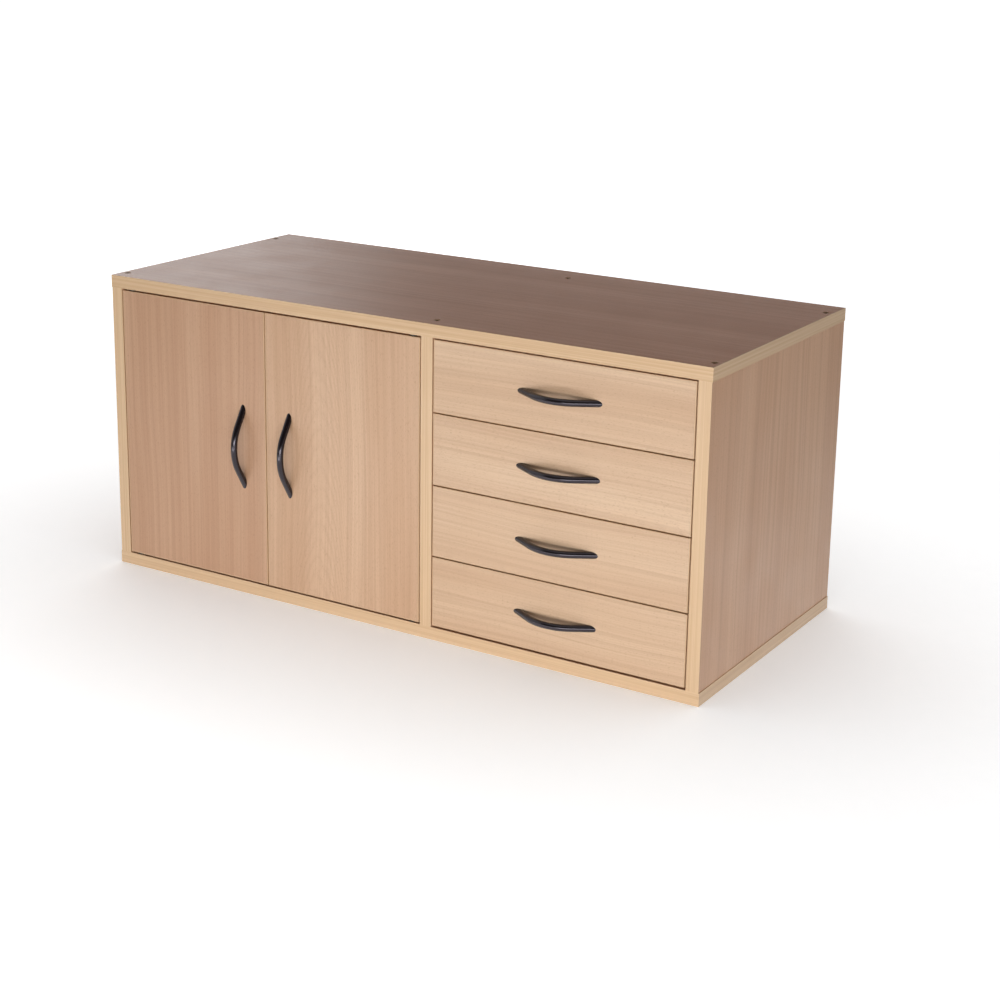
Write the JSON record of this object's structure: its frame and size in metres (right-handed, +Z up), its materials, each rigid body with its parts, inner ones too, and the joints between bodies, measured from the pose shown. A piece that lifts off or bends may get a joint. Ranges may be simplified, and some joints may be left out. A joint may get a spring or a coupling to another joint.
{
  "type": "workbench cabinet",
  "caption": "Low wooden cabinet for under a workbench: a shelved cupboard behind two inset doors beside a stack of inset drawers on roller runners, with black bow handles.",
  "frame": {"origin": "centre of the underside of the bottom panel", "axes": "+Z up, +X along the width to the viewer's right, the doors and drawers face -Y"},
  "size_m": [0.96, 0.4408, 0.438],
  "materials": {
    "laminate": "satin beech laminate",
    "drawer_board": "pale beech foil",
    "back_board": "thin fibreboard",
    "handle_coat": "satin black",
    "runner_coat": "cream epoxy",
    "steel": "zinc plated",
    "dark_steel": "bronzed",
    "nylon": "moulded nylon",
    "catch_plastic": "brown moulded"
  },
  "bodies": {
    "carcass": {"top_panel": "laminate", "bottom_panel": "laminate", "left_side_panel": "laminate", "right_side_panel": "laminate", "centre_divider": "laminate", "shelf": "laminate", "back_panel": "back_board", "shelf_pins": "steel", "carcass_screws": "dark_steel", "cabinet_runners": "runner_coat", "runner_screws": "steel", "pivot_bushes": "nylon", "magnetic_catch": "catch_plastic", "catch_magnets": "steel"},
    "left_door": {"left_door_panel": "laminate", "left_door_handle": "handle_coat", "left_door_handle_screws": "steel", "left_door_pivot_pins": "steel", "left_door_strike_plate": "steel"},
    "right_door": {"right_door_panel": "laminate", "right_door_handle": "handle_coat", "right_door_handle_screws": "steel", "right_door_pivot_pins": "steel", "right_door_strike_plate": "steel"},
    "drawer_1": {"drawer_1_front": "laminate", "drawer_1_sides": "drawer_board", "drawer_1_back": "drawer_board", "drawer_1_base": "back_board", "drawer_1_handle": "handle_coat", "drawer_1_handle_screws": "steel", "drawer_1_runners": "runner_coat"},
    "front_rollers_1": {"drawer_1_front_rollers": "nylon"},
    "rear_rollers_1": {"drawer_1_rear_rollers": "nylon"},
    "drawer_2": {"drawer_2_front": "laminate", "drawer_2_sides": "drawer_board", "drawer_2_back": "drawer_board", "drawer_2_base": "back_board", "drawer_2_handle": "handle_coat", "drawer_2_handle_screws": "steel", "drawer_2_runners": "runner_coat"},
    "front_rollers_2": {"drawer_2_front_rollers": "nylon"},
    "rear_rollers_2": {"drawer_2_rear_rollers": "nylon"},
    "drawer_3": {"drawer_3_front": "laminate", "drawer_3_sides": "drawer_board", "drawer_3_back": "drawer_board", "drawer_3_base": "back_board", "drawer_3_handle": "handle_coat", "drawer_3_handle_screws": "steel", "drawer_3_runners": "runner_coat"},
    "front_rollers_3": {"drawer_3_front_rollers": "nylon"},
    "rear_rollers_3": {"drawer_3_rear_rollers": "nylon"},
    "drawer_4": {"drawer_4_front": "laminate", "drawer_4_sides": "drawer_board", "drawer_4_back": "drawer_board", "drawer_4_base": "back_board", "drawer_4_handle": "handle_coat", "drawer_4_handle_screws": "steel", "drawer_4_runners": "runner_coat"},
    "front_rollers_4": {"drawer_4_front_rollers": "nylon"},
    "rear_rollers_4": {"drawer_4_rear_rollers": "nylon"}
  },
  "joints": [
    {"name": "left_door_swing", "type": "hinge", "parent": "carcass", "child": "left_door", "pos_m": [-0.445, -0.2005, 0.219], "axis": [0, 0, -1], "range_deg": [0, 110]},
    {"name": "right_door_swing", "type": "hinge", "parent": "carcass", "child": "right_door", "pos_m": [0.043, -0.2005, 0.219], "axis": [0, 0, 1], "range_deg": [0, 90]},
    {"name": "drawer_1_slide", "type": "slide", "parent": "carcass", "child": "drawer_1", "axis": [0, -1, 0], "range_m": [0, 0.26]},
    {"name": "front_rollers_1_turn", "type": "hinge", "parent": "carcass", "child": "front_rollers_1", "pos_m": [0.269, -0.1775, 0.34385], "axis": [1, 0, 0], "range_deg": [0, 2140]},
    {"name": "rear_rollers_1_turn", "type": "hinge", "parent": "drawer_1", "child": "rear_rollers_1", "pos_m": [0.269, 0.1505, 0.32825], "axis": [1, 0, 0], "range_deg": [0, 2140]},
    {"name": "drawer_2_slide", "type": "slide", "parent": "carcass", "child": "drawer_2", "axis": [0, -1, 0], "range_m": [0, 0.26]},
    {"name": "front_rollers_2_turn", "type": "hinge", "parent": "carcass", "child": "front_rollers_2", "pos_m": [0.269, -0.1775, 0.2441], "axis": [1, 0, 0], "range_deg": [0, 2140]},
    {"name": "rear_rollers_2_turn", "type": "hinge", "parent": "drawer_2", "child": "rear_rollers_2", "pos_m": [0.269, 0.1505, 0.2285], "axis": [1, 0, 0], "range_deg": [0, 2140]},
    {"name": "drawer_3_slide", "type": "slide", "parent": "carcass", "child": "drawer_3", "axis": [0, -1, 0], "range_m": [0, 0.26]},
    {"name": "front_rollers_3_turn", "type": "hinge", "parent": "carcass", "child": "front_rollers_3", "pos_m": [0.269, -0.1775, 0.14435], "axis": [1, 0, 0], "range_deg": [0, 2140]},
    {"name": "rear_rollers_3_turn", "type": "hinge", "parent": "drawer_3", "child": "rear_rollers_3", "pos_m": [0.269, 0.1505, 0.12875], "axis": [1, 0, 0], "range_deg": [0, 2140]},
    {"name": "drawer_4_slide", "type": "slide", "parent": "carcass", "child": "drawer_4", "axis": [0, -1, 0], "range_m": [0, 0.26]},
    {"name": "front_rollers_4_turn", "type": "hinge", "parent": "carcass", "child": "front_rollers_4", "pos_m": [0.269, -0.1775, 0.0446], "axis": [1, 0, 0], "range_deg": [0, 2140]},
    {"name": "rear_rollers_4_turn", "type": "hinge", "parent": "drawer_4", "child": "rear_rollers_4", "pos_m": [0.269, 0.1505, 0.029], "axis": [1, 0, 0], "range_deg": [0, 2140]}
  ],
  "couplings": [
    {"joint": "front_rollers_1_turn", "follows": "drawer_1_slide", "rad_per_m": 142.86},
    {"joint": "rear_rollers_1_turn", "follows": "drawer_1_slide", "rad_per_m": 142.86},
    {"joint": "front_rollers_2_turn", "follows": "drawer_2_slide", "rad_per_m": 142.86},
    {"joint": "rear_rollers_2_turn", "follows": "drawer_2_slide", "rad_per_m": 142.86},
    {"joint": "front_rollers_3_turn", "follows": "drawer_3_slide", "rad_per_m": 142.86},
    {"joint": "rear_rollers_3_turn", "follows": "drawer_3_slide", "rad_per_m": 142.86},
    {"joint": "front_rollers_4_turn", "follows": "drawer_4_slide", "rad_per_m": 142.86},
    {"joint": "rear_rollers_4_turn", "follows": "drawer_4_slide", "rad_per_m": 142.86}
  ]
}
